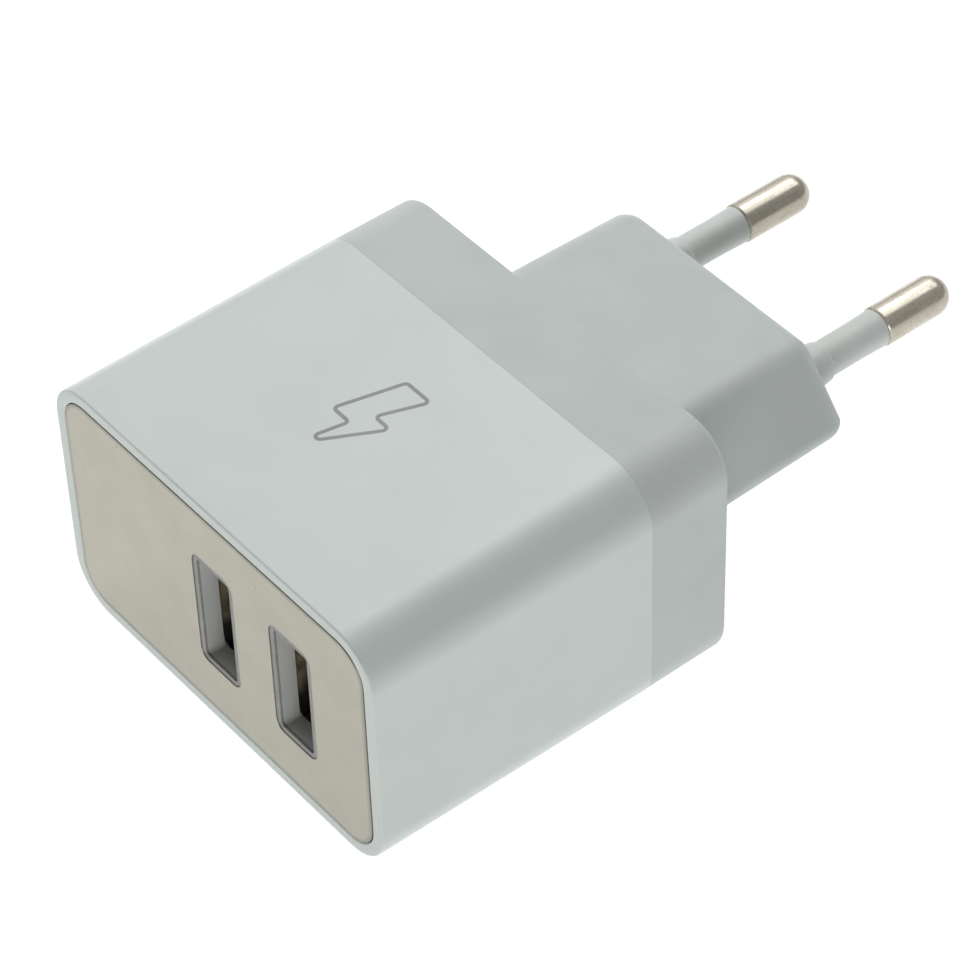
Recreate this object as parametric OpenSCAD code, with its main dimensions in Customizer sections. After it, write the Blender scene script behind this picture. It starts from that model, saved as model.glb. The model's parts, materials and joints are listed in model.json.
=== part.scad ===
// Two-port USB wall charger with a two-pin European plug.
// +X is the side the two ports are on, +Y the way the mains pins point, +Z up.
// The origin is under the middle of the charger, on the surface that it lies on.

/* [Housing] */
// Width of the housing, side to side
body_w = 45.7; // [45.3:0.1:48]
// Height of the housing, bottom to top
body_h = 27.6; // [27.3:0.1:30]
// Corner radius of the housing, seen from the front
corner_r = 4.7; // [4:0.1:5.5]
// Length of the front sleeve
sleeve_len = 30; // [30:0.1:33]
// Length of the rear cover behind the sleeve
cover_len = 8.8; // [8.8:0.1:12]
// Wall thickness of the front sleeve
sleeve_wall = 1.6; // [1.2:0.1:1.8]
// Thickness of the wall behind the front plate
front_wall = 1.8; // [1.5:0.1:1.8]
// Wall thickness of the rear cover
cover_wall = 2.8; // [2.6:0.1:3]
// Length of the cover's lip inside the sleeve
lip_len = 3; // [2:0.1:3.5]

/* [Front plate] */
// Width of the sleeve's rim around the plate
plate_inset = 1.7; // [1.4:0.1:2]
// Thickness of the steel plate
plate_t = 0.5; // [0.3:0.1:0.6]
// Thickness of the adhesive sheet behind the plate
adhesive_t = 0.1; // [0.05:0.05:0.2]
// Gap between the plate and the plastic around it
plate_gap = 0.08; // [0.05:0.01:0.15]

/* [USB ports] */
// Width of the opening in a port's bezel
port_w = 4.8; // [4.7:0.02:5]
// Height of the opening in a port's bezel
port_h = 12.2; // [12.2:0.1:12.4]
// Width of the bezel around a port opening, seen in the plate's cutout
bezel_w = 0.5; // [0.3:0.05:0.6]
// Depth of the bezel's front edge below the plate's face
bezel_depth = 0.08; // [0:0.02:0.2]
// Sideways place of the first port
port_1_x = 0; // [-0.4:0.1:0]
// Distance between the two ports
port_pitch = 10.95; // [10.8:0.05:10.95]
// Length of a contact's springing part
beam_len = 8.2; // [7.8:0.1:8.2]

/* [Plug] */
// Length of the plug nose
nose_len = 19.5; // [18:0.5:22]
// Height of the plug nose
nose_h = 14.26; // [13.7:0.02:14.4]
// Width of the nose's flat top, corner to corner before rounding
nose_flat_w = 24.8; // [24:0.02:26.1]
// Width of the nose between its side corners, before rounding
nose_point_w = 36.4; // [35.6:0.02:36.4]
// Distance between the two mains pins
pin_spacing = 19.2; // [18:0.1:19.2]
// Length of a mains pin outside the nose
pin_len = 19; // [19:0.5:19.5]
// Length of bare metal at a pin's end
pin_bare_len = 8.5; // [8:0.5:10]
// Diameter of the bare metal
pin_d = 4; // [3.94:0.01:4.06]
// Diameter of the insulated stretch of a pin
pin_sleeve_d = 3.65; // [3.5:0.05:3.65]

/* [Electronics] */
// Thickness of the circuit board
board_t = 1.6; // [1:0.2:1.6]
// Width of the circuit board
board_w = 39.4; // [38:0.2:39.4]
// Width and height of the transformer core
core_size = 16.1; // [15.5:0.1:16.1]
// Thickness of the transformer core
core_t = 4.7; // [4.5:0.1:4.8]

/* [Hidden] */
$fn = 96;

// Reach of a cutting shape past the face that it cuts
past = 1;
// Depth to which one part of a moulding sinks into another, so that they join
sink = 0.4;

// Stations along the charger, from the front plate to the pin tips
total_len = sleeve_len + cover_len + nose_len + pin_len;
front_y = -total_len / 2;
seam_y = front_y + sleeve_len;
rear_y = seam_y + cover_len;
nose_y = rear_y + nose_len;
tip_y = nose_y + pin_len;
mid_z = body_h / 2;

// Front wall: the plate and its adhesive fill the recess in front of it
recess_d = plate_t + adhesive_t;
wall_back_y = front_y + recess_d + front_wall;
adhesive_margin = 0.5;
cutout_grow = bezel_w + plate_gap;
cutout_r = 0.9;
bezel_r = cutout_r - plate_gap;
opening_r = 0.4;

// Rear cover
lip_gap = 0.1;
rear_wall = 1.8;
nose_wall = 2;
nose_end_wall = 6;
nose_top_r = 3;
nose_side_r = 1.5;
nose_corners = [
    [nose_flat_w / 2, nose_h / 2], [nose_point_w / 2, 0], [nose_flat_w / 2, -nose_h / 2],
    [-nose_flat_w / 2, -nose_h / 2], [-nose_point_w / 2, 0], [-nose_flat_w / 2, nose_h / 2]
];
nose_radii = [nose_top_r, nose_side_r, nose_top_r, nose_top_r, nose_side_r, nose_top_r];
min_nose_r = 0.3;

// Mains pins
pin_neck_d = 3;
pin_tail_d = 3.6;
pin_tail_len = 4;
pin_collar_d = 4.9;
pin_collar_len = 3.6;
bare_y = tip_y - pin_bare_len;

// USB sockets
port_xs = [port_1_x, port_1_x + port_pitch];
socket_w = 5.12;
socket_h = 12.5;
socket_r = 0.3;
shell_t = 0.3;
shell_w = socket_w + 2 * shell_t;
shell_h = socket_h + 2 * shell_t;
shell_r = 0.6;
shell_len = 13.9;
shell_y = wall_back_y;
shell_leg_w = 1.5;
shell_leg_steps = [3, 11];
leaf_w = 2.4;
leaf_len = 5;
leaf_z = 3;
leaf_slit = 0.35;
leaf_start = 2;
tongue_w = 11.1;
tongue_t = 1.84;
tongue_face_x = 0.05;
tongue_tip_d = 1.95;
block_len = 3;
block_y = shell_y + shell_len - block_len;
contact_zs = [-3.5, -1, 1, 3.5];
contact_w = 1;
contact_t = 0.2;
groove_w = 1.3;
groove_d = 0.95;
beam_depth = 0.35;
beam_root_gap = 0.25;
beam_root_r = 0.14;
beam_bump_s = 6.2;
beam_bump_rise = 0.7;
beam_bump_half = 0.8;
beam_nose_drop = 0.25;
groove_end_gap = 0.15;
terminal_step = 1.2;
terminal_foot = 0.6;

// Circuit board
board_top = mid_z - shell_h / 2;
board_bottom = board_top - board_t;
board_gap = 0.2;
board_front_y = wall_back_y + board_gap;
board_rear_y = rear_y - rear_wall - 0.5;
hole_gap = 0.1;
lead_r = 0.3;
lead_under = 0.8;
rail_h = 1.2;
rail_x = board_w / 2 - 0.8;

// Brass strips between the pins and the board
strip_t = 0.4;
strip_h = 3;
strip_foot_w = 2;
strip_foot_y = board_rear_y - strip_foot_w;

// Transformer
core_x = 3;
core_y = -10;
core_leg = 2.35;
core_air_gap = 0.1;
bobbin_foot = 0.8;
bobbin_wall = 0.65;
bobbin_flange = 0.8;
flange_w = 11;
flange_depth = 13;
winding_w = 10.4;
winding_r = 1;
tape_t = 0.2;
core_fit = 0.1;
bobbin_tube_w = core_t + 2 * (core_fit + bobbin_wall);
core_bottom = board_top + bobbin_foot;
bobbin_bottom = core_bottom + core_leg + core_fit;
bobbin_top = core_bottom + core_size - core_leg - core_fit;
transformer_leads = [for (x = [-4.5, -1.5, 1.5, 4.5], y = [-5.6, 5.6]) [core_x + x, core_y + y]];

// Places of the other parts on the board
input_cap_x = -14.8;
input_cap_ys = [-31, -22];
input_cap_r = 4;
output_cap_x = 16.35;
output_cap_ys = [-33, -26.7, -20.4];
output_cap_r = 2.5;
inductor_at = [-7.3, -31];
fuse_at = [-16.5, -6.5];
opto_at = [-7.3, -20];
y_cap_at = [15.8, -7.5];
bridge_at = [-15.5, -13];
bridge_size = [4.7, 3.9, 2.6];
rectifier_at = [15.8, -14.4];
rectifier_size = [4.2, 5.6, 2.3];
opto_size = [4.6, 6.4, 3.5];
controller_at = [-12, -16];
controller_size = [4.9, 3.9, 1.5];
chip_xs = [-4:3.5:10];
chip_ys = [-12, -8];
chip_size = [2, 1.25, 0.6];
barrier_x = -3.9;
barrier_rear_y = -17;
barrier_t = 0.4;
barrier_h = 15;

// Two leads, one on each side of a part's middle
function pair(at, x, y) = [[at[0] - x, at[1] - y], [at[0] + x, at[1] + y]];
cap_leads = concat(
    [for (y = input_cap_ys) each pair([input_cap_x, y], 0, 1.75)],
    [for (y = output_cap_ys) each pair([output_cap_x, y], 0, 1)]
);
lead_places = concat(
    transformer_leads, cap_leads, pair(inductor_at, 1.5, 0), pair(fuse_at, 0, 1), pair(y_cap_at, 0, 2.5),
    pair(opto_at, 1.27, 2.5), pair(opto_at, -1.27, 2.5)
);

// Extrudes an outline, drawn with its height up the page, along Y
module prism_y(from_y, to_y)
    translate([0, to_y, 0]) rotate([90, 0, 0]) linear_extrude(to_y - from_y) children();

module round_rect(w, h, r) {
    square([w, h - 2 * r], center = true);
    square([w - 2 * r, h], center = true);
    for (sx = [-1, 1], sy = [-1, 1])
        translate([sx * (w / 2 - r), sy * (h / 2 - r)]) circle(r);
}

// Box from its middle in X and Y and its bottom in Z
module block(at, size) translate([at[0], at[1], at[2] + size[2] / 2]) cube(size, center = true);

// The housing's outline, moved in by an inset
module body_outline(inset)
    translate([0, mid_z]) round_rect(body_w - 2 * inset, body_h - 2 * inset, corner_r - inset);

// Outlines around a port: the opening in its bezel, and the inside of the socket's shell
module port_outline(x, grow, r)
    translate([x, mid_z]) round_rect(port_w + 2 * grow, port_h + 2 * grow, r);

module socket_outline(x, grow, r)
    translate([x, mid_z]) round_rect(socket_w + 2 * grow, socket_h + 2 * grow, r);

// A convex outline with an arc in every corner
function unit(v) = v / norm(v);
function wrap(points, i) = points[(i + len(points)) % len(points)];
function toward(points, i, step) = unit(wrap(points, i + step) - points[i]);
function half_angle(points, i) = acos(toward(points, i, 1) * toward(points, i, -1)) / 2;
function bisector(points, i) = unit(toward(points, i, 1) + toward(points, i, -1));
function touch_point(points, radii, i, step) =
    points[i] + toward(points, i, step) * radii[i] / tan(half_angle(points, i));
function arc_centre(points, radii, i) =
    points[i] + bisector(points, i) * radii[i] / sin(half_angle(points, i));
function inset_points(points, inset) =
    [for (i = [0:len(points) - 1]) points[i] + bisector(points, i) * inset / sin(half_angle(points, i))];

module rounded_polygon(points, radii) {
    last = len(points) - 1;
    polygon([for (i = [0:last], step = [-1, 1]) touch_point(points, radii, i, step)]);
    for (i = [0:last]) translate(arc_centre(points, radii, i)) circle(radii[i]);
}

module nose_outline(inset)
    translate([0, mid_z])
        rounded_polygon(inset_points(nose_corners, inset), [for (r = nose_radii) max(r - inset, min_nose_r)]);

// Rod along Y at a given place across the charger
module rod_y(x, from_y, to_y, d)
    translate([x, to_y, mid_z]) rotate([90, 0, 0]) cylinder(h = to_y - from_y, d = d);

module board_rails() {
    rail_out = body_w / 2 - sleeve_wall + sink;
    rail_len = seam_y - lip_len - board_gap - wall_back_y + sink;
    for (side = [-1, 1], z = [board_bottom - rail_h, board_top])
        block([side * (rail_x + rail_out) / 2, wall_back_y - sink + rail_len / 2, z],
              [rail_out - rail_x, rail_len, rail_h]);
}

module front_sleeve() color("#c9cfcb") union() {
    difference() {
        prism_y(front_y, seam_y) body_outline(0);
        prism_y(front_y - past, front_y + recess_d) body_outline(plate_inset - plate_gap);
        prism_y(wall_back_y, seam_y + past) body_outline(sleeve_wall);
        for (x = port_xs) prism_y(front_y, wall_back_y + past) port_outline(x, bezel_w, bezel_r);
    }
    board_rails();
}

// Grey liner of a port opening, through the plate and the wall behind it
module port_bezel(x) color("#8f9492") difference() {
    prism_y(front_y + bezel_depth, wall_back_y) port_outline(x, bezel_w, bezel_r);
    prism_y(front_y - past, wall_back_y + past) port_outline(x, 0, opening_r);
}

module rear_cover() color("#bfc4c0") difference() {
    union() {
        prism_y(seam_y, rear_y) body_outline(0);
        prism_y(seam_y - lip_len, seam_y + sink) body_outline(sleeve_wall + lip_gap);
        prism_y(rear_y - sink, nose_y) nose_outline(0);
    }
    prism_y(seam_y - lip_len - past, rear_y - rear_wall) body_outline(cover_wall);
    prism_y(rear_y - rear_wall - past, nose_y - nose_end_wall) nose_outline(nose_wall);
    for (side = [-1, 1])
        rod_y(side * pin_spacing / 2, nose_y - nose_end_wall - past, nose_y + past, pin_tail_d);
}

module front_plate() color("#bab4a5") difference() {
    prism_y(front_y, front_y + plate_t) body_outline(plate_inset);
    for (x = port_xs)
        prism_y(front_y - past, front_y + plate_t + past) port_outline(x, cutout_grow, cutout_r);
}

module plate_adhesive() color("#e8e6dc") difference() {
    prism_y(front_y + plate_t, front_y + recess_d) body_outline(plate_inset + adhesive_margin);
    for (x = port_xs)
        prism_y(front_y, front_y + recess_d + past) port_outline(x, cutout_grow + adhesive_margin, cutout_r);
}

// A mains pin: round tail in the nose, thinner neck in its insulation, bare end with a round tip
module mains_pin(x) color("#b9b0a2") union() {
    rod_y(x, nose_y - nose_end_wall - pin_tail_len, nose_y, pin_tail_d);
    rod_y(x, nose_y - sink, bare_y + sink, pin_neck_d);
    rod_y(x, bare_y, tip_y - pin_d / 2, pin_d);
    translate([x, tip_y - pin_d / 2, mid_z]) sphere(d = pin_d);
}

module pin_sleeve(x) color("#b5bab6") difference() {
    union() {
        rod_y(x, nose_y, bare_y, pin_sleeve_d);
        rod_y(x, nose_y, nose_y + pin_collar_len, pin_collar_d);
    }
    rod_y(x, nose_y - past, bare_y + past, pin_neck_d);
}

// Brass strip along the outer side of a pin's tail, with a foot in the board
function strip_x(side) = side * (pin_spacing / 2 + pin_tail_d / 2 + strip_t / 2);

module pin_strip(side) color("#c8a24a") union() {
    strip_end_y = nose_y - nose_end_wall;
    block([strip_x(side), (strip_foot_y + strip_end_y) / 2, mid_z - strip_h / 2],
          [strip_t, strip_end_y - strip_foot_y, strip_h]);
    strip_foot(side, 0);
}

module strip_foot(side, grow) {
    foot_bottom = board_bottom - lead_under;
    block([strip_x(side), strip_foot_y + strip_foot_w / 2, foot_bottom],
          [strip_t + 2 * grow, strip_foot_w + 2 * grow, mid_z - foot_bottom]);
}

// Legs of a socket's shell, which pass through the board
module shell_legs(x, grow) {
    leg_bottom = board_bottom - lead_under;
    for (side = [-1, 1], y = shell_leg_steps)
        block([x + side * (shell_w - shell_t) / 2, shell_y + y, leg_bottom],
              [shell_t + 2 * grow, shell_leg_w + 2 * grow, board_top + shell_r + sink - leg_bottom]);
}

// A slit on three sides of each leaf spring in the shell's side walls
module leaf_slits(x) {
    for (side = [-1, 1], z = [-leaf_z, leaf_z])
        translate([x + side * (shell_w - shell_t) / 2, shell_y + leaf_start + leaf_len / 2, mid_z + z])
            difference() {
                cube([shell_t + past, leaf_len, leaf_w], center = true);
                translate([0, leaf_slit, 0])
                    cube([shell_t + 2 * past, leaf_len, leaf_w - 2 * leaf_slit], center = true);
            }
}

module usb_shell(x) color("#a9abaa") difference() {
    union() {
        prism_y(shell_y, shell_y + shell_len) socket_outline(x, shell_t, shell_r);
        shell_legs(x, 0);
    }
    prism_y(shell_y - past, shell_y + shell_len + past) socket_outline(x, 0, socket_r);
    leaf_slits(x);
}

// Insulating block at the back of a socket, with the tongue that carries the contacts
module usb_tongue(x) color("#26282a") difference() {
    union() {
        prism_y(block_y, shell_y + shell_len) socket_outline(x, 0, socket_r);
        tongue_y = shell_y + tongue_tip_d;
        block([x + tongue_face_x + tongue_t / 2, (tongue_y + block_y + sink) / 2, mid_z - tongue_w / 2],
              [tongue_t, block_y + sink - tongue_y, tongue_w]);
    }
    for (z = contact_zs) {
        groove_len = beam_len + beam_root_gap + groove_end_gap;
        block([x + tongue_face_x + (groove_d - past) / 2, block_y - groove_len / 2, mid_z + z - groove_w / 2],
              [groove_d + past, groove_len, groove_w]);
        terminal_run(x, z, block_y - past, shell_y + shell_len + past);
    }
}

// Flat stretch of a terminal, along Y
module terminal_run(x, z, from_y, to_y)
    block([x + tongue_face_x + beam_depth, (from_y + to_y) / 2, mid_z + z - contact_w / 2],
          [contact_t, to_y - from_y, contact_w]);

// Middle of a terminal's foot along Y: the higher the contact, the further back its foot is
function foot_y(i) = shell_y + shell_len + terminal_step * (i + 0.5);

module terminal_foot(x, i, grow) {
    foot_bottom = board_bottom - lead_under;
    block([x + tongue_face_x + beam_depth, foot_y(i), foot_bottom],
          [contact_t + 2 * grow, terminal_foot + 2 * grow, mid_z + contact_zs[i] - foot_bottom]);
}

module usb_terminals(x) color("#c9a76a")
    for (i = [0:len(contact_zs) - 1]) union() {
        terminal_run(x, contact_zs[i], block_y, foot_y(i) + terminal_foot / 2);
        terminal_foot(x, i, 0);
    }

// Middle line of a contact's spring: distance from its root, and height above the root
beam_line = [
    [0, 0], [beam_bump_s - 2 * beam_bump_half, beam_bump_rise / 2], [beam_bump_s, beam_bump_rise],
    [beam_bump_s + beam_bump_half, beam_bump_rise - beam_nose_drop], [beam_len, 0]
];
beam_last = len(beam_line) - 1;
beam_half = [0, contact_t / 2];

module contact_beam() {
    polygon(concat(
        [for (i = [0:beam_last]) beam_line[i] + beam_half],
        [for (i = [beam_last:-1:0]) beam_line[i] - beam_half]
    ));
    circle(beam_root_r);
}

// The four springs of a socket. Each lies in its groove, with its bump standing out of the tongue
module usb_contacts(x) color("#d8b45a")
    for (z = contact_zs)
        translate([x + tongue_face_x + beam_depth, block_y - beam_root_gap, mid_z + z - contact_w / 2])
            linear_extrude(contact_w) rotate(-90) mirror([0, 1]) contact_beam();

module circuit_board() color("#2f6b3c") difference() {
    board_len = board_rear_y - board_front_y;
    block([0, (board_front_y + board_rear_y) / 2, board_bottom], [board_w, board_len, board_t]);
    for (at = lead_places)
        translate([at[0], at[1], board_bottom - past])
            cylinder(h = board_t + 2 * past, r = lead_r + hole_gap);
    for (x = port_xs) {
        shell_legs(x, hole_gap);
        for (i = [0:len(contact_zs) - 1]) terminal_foot(x, i, hole_gap);
    }
    for (side = [-1, 1]) strip_foot(side, hole_gap);
}

// Tinned wires of all the parts that stand on the board
module component_leads() color("#c0c0bc")
    for (at = lead_places)
        translate([at[0], at[1], board_bottom - lead_under]) cylinder(h = board_t + lead_under, r = lead_r);

// Half of the core: a yoke with three legs pointing up, short of the middle by half the air gap
module core_half() {
    leg_h = (core_size - core_air_gap) / 2;
    block([0, 0, 0], [core_size, core_t, core_leg]);
    block([0, 0, 0], [core_t, core_t, leg_h]);
    for (side = [-1, 1]) block([side * (core_size - core_leg) / 2, 0, 0], [core_leg, core_t, leg_h]);
}

module transformer_core() color("#3c3c3f")
    translate([core_x, core_y, core_bottom]) {
        union() core_half();
        translate([0, 0, core_size]) mirror([0, 0, 1]) union() core_half();
    }

module transformer_bobbin() color("#1f2124") {
    foot_w = (flange_depth - core_t) / 2 - 2 * core_fit;
    translate([core_x, core_y, 0]) difference() {
        union() {
            block([0, 0, bobbin_bottom], [bobbin_tube_w, bobbin_tube_w, bobbin_top - bobbin_bottom]);
            block([0, 0, bobbin_bottom], [flange_w, flange_depth, bobbin_flange]);
            block([0, 0, bobbin_top - bobbin_flange], [flange_w, flange_depth, bobbin_flange]);
            for (side = [-1, 1])
                block([0, side * (flange_depth - foot_w) / 2, board_top],
                      [flange_w, foot_w, bobbin_bottom - board_top + sink]);
        }
        block([0, 0, bobbin_bottom - past],
              [core_t + 2 * core_fit, core_t + 2 * core_fit, core_size + past]);
    }
}

// Fills the height between the bobbin's flanges with an outline around the core's middle leg
module around_bobbin()
    translate([core_x, core_y, bobbin_bottom + bobbin_flange])
        linear_extrude(bobbin_top - bobbin_bottom - 2 * bobbin_flange) children();

module transformer_winding() color("#a8642a") around_bobbin() difference() {
    round_rect(winding_w, winding_w, winding_r);
    square(bobbin_tube_w, center = true);
}

module transformer_tape() color("#e3c22e") around_bobbin() difference() {
    round_rect(winding_w + 2 * tape_t, winding_w + 2 * tape_t, winding_r + tape_t);
    round_rect(winding_w, winding_w, winding_r);
}

// Can of an electrolytic capacitor, with the crimped groove near its base
module capacitor_can(at, r, h) {
    groove_h = 0.8;
    groove_in = 0.3;
    rim_h = 1.2;
    translate([at[0], at[1], board_top]) union() {
        cylinder(h = rim_h, r = r);
        cylinder(h = rim_h + groove_h + sink, r = r - groove_in);
        translate([0, 0, rim_h + groove_h]) cylinder(h = h - rim_h - groove_h, r = r);
    }
}

module input_capacitors() color("#2b2f4a") {
    can_h = 12.5;
    for (y = input_cap_ys) capacitor_can([input_cap_x, y], input_cap_r, can_h);
}

module output_capacitors() color("#23503a") {
    can_h = 11;
    for (y = output_cap_ys) capacitor_can([output_cap_x, y], output_cap_r, can_h);
}

// Ceramic disc standing on its edge, with a flat foot of resin
module y_capacitor() color("#3a6fb0") {
    disc_d = 7;
    disc_t = 3;
    disc_lift = 0.7;
    foot_w = 6;
    foot_h = 2;
    translate([y_cap_at[0], y_cap_at[1], board_top]) union() {
        translate([-disc_t / 2, 0, disc_lift + disc_d / 2])
            rotate([0, 90, 0]) cylinder(h = disc_t, d = disc_d);
        block([0, 0, 0], [disc_t - sink, foot_w, foot_h]);
    }
}

module filter_inductor() color("#6b4a2c") {
    drum_r = 3;
    waist_r = 2.4;
    flange_h = 1;
    drum_h = 8;
    translate([inductor_at[0], inductor_at[1], board_top]) union() {
        cylinder(h = flange_h, r = drum_r);
        cylinder(h = drum_h, r = waist_r);
        translate([0, 0, drum_h - flange_h]) cylinder(h = flange_h, r = drum_r);
    }
}

module fuse_resistor() color("#7fa58a") {
    fuse_r = 1.6;
    fuse_h = 8;
    translate([fuse_at[0], fuse_at[1], board_top]) cylinder(h = fuse_h, r = fuse_r);
}

// Parts moulded as plain blocks, on top of the board and under it
module on_board(at, size) block([at[0], at[1], board_top], size);
module under_board(at, size) block([at[0], at[1], board_bottom - size[2]], size);

module bridge_rectifier() color("#202226") on_board(bridge_at, bridge_size);

module output_rectifier() color("#1e2023") on_board(rectifier_at, rectifier_size);

module optocoupler() color("#f0f0ec") on_board(opto_at, opto_size);

module controller_chip() color("#1a1c1e") under_board(controller_at, controller_size);

module chip_parts() color("#b9a88c") for (x = chip_xs, y = chip_ys) under_board([x, y], chip_size);

// Sheet of fibre board between the mains side and the low-voltage side
module insulation_barrier() color("#d9d3b8") {
    barrier_front_y = board_front_y + board_gap;
    on_board([barrier_x, (barrier_front_y + barrier_rear_y) / 2],
             [barrier_t, barrier_rear_y - barrier_front_y, barrier_h]);
}

front_sleeve();
rear_cover();
front_plate();
plate_adhesive();
port_bezel(port_xs[0]);  // port_bezel_1
port_bezel(port_xs[1]);  // port_bezel_2
mains_pin(-pin_spacing / 2);  // pin_left
mains_pin(pin_spacing / 2);  // pin_right
pin_sleeve(-pin_spacing / 2);  // pin_sleeve_left
pin_sleeve(pin_spacing / 2);  // pin_sleeve_right
pin_strip(-1);  // pin_strip_left
pin_strip(1);  // pin_strip_right
usb_shell(port_xs[0]);  // usb_shell_1
usb_shell(port_xs[1]);  // usb_shell_2
usb_tongue(port_xs[0]);  // usb_tongue_1
usb_tongue(port_xs[1]);  // usb_tongue_2
usb_contacts(port_xs[0]);  // usb_contacts_1
usb_contacts(port_xs[1]);  // usb_contacts_2
usb_terminals(port_xs[0]);  // usb_terminals_1
usb_terminals(port_xs[1]);  // usb_terminals_2
circuit_board();
component_leads();
transformer_core();
transformer_bobbin();
transformer_winding();
transformer_tape();
input_capacitors();
output_capacitors();
y_capacitor();
filter_inductor();
fuse_resistor();
bridge_rectifier();
output_rectifier();
optocoupler();
controller_chip();
chip_parts();
insulation_barrier();
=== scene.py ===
"""Looks of the USB wall charger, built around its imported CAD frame.

Shapes are drawn in millimetres, in the frame's own axes: +X to the ports' side, +Y to the mains pins,
+Z up. Most pieces are lofted from outlines that lie across the charger, in X and Z.
"""
import sys
import json
import math

import bmesh
import bpy
from mathutils import Matrix, Vector
from mathutils.geometry import tessellate_polygon
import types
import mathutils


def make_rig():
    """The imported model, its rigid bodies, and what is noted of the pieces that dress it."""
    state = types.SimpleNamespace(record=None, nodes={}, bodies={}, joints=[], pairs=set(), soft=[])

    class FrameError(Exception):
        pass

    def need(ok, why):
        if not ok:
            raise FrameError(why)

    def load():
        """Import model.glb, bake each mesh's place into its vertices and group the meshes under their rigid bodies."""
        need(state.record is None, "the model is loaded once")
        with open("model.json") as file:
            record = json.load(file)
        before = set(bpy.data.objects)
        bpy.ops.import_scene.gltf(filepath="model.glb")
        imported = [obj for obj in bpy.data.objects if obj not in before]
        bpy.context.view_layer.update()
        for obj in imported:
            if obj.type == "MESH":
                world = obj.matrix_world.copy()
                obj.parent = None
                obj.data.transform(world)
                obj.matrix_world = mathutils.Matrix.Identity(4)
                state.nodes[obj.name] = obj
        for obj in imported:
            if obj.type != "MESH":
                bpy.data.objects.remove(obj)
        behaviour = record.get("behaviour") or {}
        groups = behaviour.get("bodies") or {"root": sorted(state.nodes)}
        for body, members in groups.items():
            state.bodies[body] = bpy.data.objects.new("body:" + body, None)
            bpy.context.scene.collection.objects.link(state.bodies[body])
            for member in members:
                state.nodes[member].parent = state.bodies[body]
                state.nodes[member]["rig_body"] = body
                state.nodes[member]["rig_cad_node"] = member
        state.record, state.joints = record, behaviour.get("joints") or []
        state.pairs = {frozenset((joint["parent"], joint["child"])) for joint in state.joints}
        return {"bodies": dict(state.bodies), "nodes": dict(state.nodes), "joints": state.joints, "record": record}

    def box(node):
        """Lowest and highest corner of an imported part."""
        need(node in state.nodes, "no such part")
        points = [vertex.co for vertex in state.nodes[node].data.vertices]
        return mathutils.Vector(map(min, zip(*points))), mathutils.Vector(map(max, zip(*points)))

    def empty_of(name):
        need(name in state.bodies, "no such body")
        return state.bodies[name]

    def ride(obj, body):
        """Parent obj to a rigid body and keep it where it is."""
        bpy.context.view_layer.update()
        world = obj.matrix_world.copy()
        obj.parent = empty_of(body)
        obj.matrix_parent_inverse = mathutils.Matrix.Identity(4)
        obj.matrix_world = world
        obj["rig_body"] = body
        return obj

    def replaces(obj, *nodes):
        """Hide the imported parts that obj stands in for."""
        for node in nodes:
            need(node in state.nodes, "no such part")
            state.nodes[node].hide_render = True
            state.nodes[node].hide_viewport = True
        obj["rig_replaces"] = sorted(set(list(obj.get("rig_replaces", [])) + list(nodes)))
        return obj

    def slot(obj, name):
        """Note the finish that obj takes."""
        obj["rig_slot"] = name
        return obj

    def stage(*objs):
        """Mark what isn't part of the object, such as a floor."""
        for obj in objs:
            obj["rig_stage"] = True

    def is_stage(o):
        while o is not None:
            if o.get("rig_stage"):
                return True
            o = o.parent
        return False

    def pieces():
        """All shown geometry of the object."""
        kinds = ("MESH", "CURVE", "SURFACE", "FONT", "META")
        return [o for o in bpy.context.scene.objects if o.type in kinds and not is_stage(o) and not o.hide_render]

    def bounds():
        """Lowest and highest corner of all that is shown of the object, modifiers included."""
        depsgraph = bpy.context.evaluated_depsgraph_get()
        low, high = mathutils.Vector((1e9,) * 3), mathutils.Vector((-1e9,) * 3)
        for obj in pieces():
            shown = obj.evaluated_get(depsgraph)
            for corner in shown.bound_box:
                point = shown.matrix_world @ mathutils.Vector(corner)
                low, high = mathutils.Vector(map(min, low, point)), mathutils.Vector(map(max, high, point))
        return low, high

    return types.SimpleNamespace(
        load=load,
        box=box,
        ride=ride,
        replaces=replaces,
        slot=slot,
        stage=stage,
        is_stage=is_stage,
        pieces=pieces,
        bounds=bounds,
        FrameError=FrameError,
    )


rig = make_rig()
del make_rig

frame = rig.load()
cad_low, cad_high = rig.bounds()

MM = 0.001
RECORD_SLOTS = [material["slot"] for material in frame["record"]["materials"]]


def corners_of(node):
    """Lowest and highest corner of a CAD node, in millimetres."""
    low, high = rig.box(node)
    return low / MM, high / MM


# Driving dimensions, read from the frame
SLEEVE_LOW, SLEEVE_HIGH = corners_of("front_sleeve")
COVER_LOW, COVER_HIGH = corners_of("rear_cover")
PLATE_LOW, PLATE_HIGH = corners_of("front_plate")
BEZEL_LOW, BEZEL_HIGH = corners_of("port_bezel_1")
PIN_LOW, PIN_HIGH = corners_of("pin_right")
INSULATION_LOW, INSULATION_HIGH = corners_of("pin_sleeve_right")
BODY_W = SLEEVE_HIGH.x - SLEEVE_LOW.x
BODY_H = SLEEVE_HIGH.z - SLEEVE_LOW.z
MID_Z = BODY_H / 2
FRONT_Y = SLEEVE_LOW.y
SEAM_Y = SLEEVE_HIGH.y
LIP_Y = COVER_LOW.y
NOSE_Y = COVER_HIGH.y
TIP_Y = PIN_HIGH.y
BARE_Y = INSULATION_HIGH.y
WALL_BACK_Y = BEZEL_HIGH.y
PLATE_BACK_Y = PLATE_HIGH.y
PLATE_INSET = PLATE_LOW.x - SLEEVE_LOW.x
BEZEL_FRONT_Y = BEZEL_LOW.y
PIN_R = (PIN_HIGH.z - PIN_LOW.z) / 2
PIN_X = (PIN_HIGH.x + PIN_LOW.x) / 2
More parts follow.
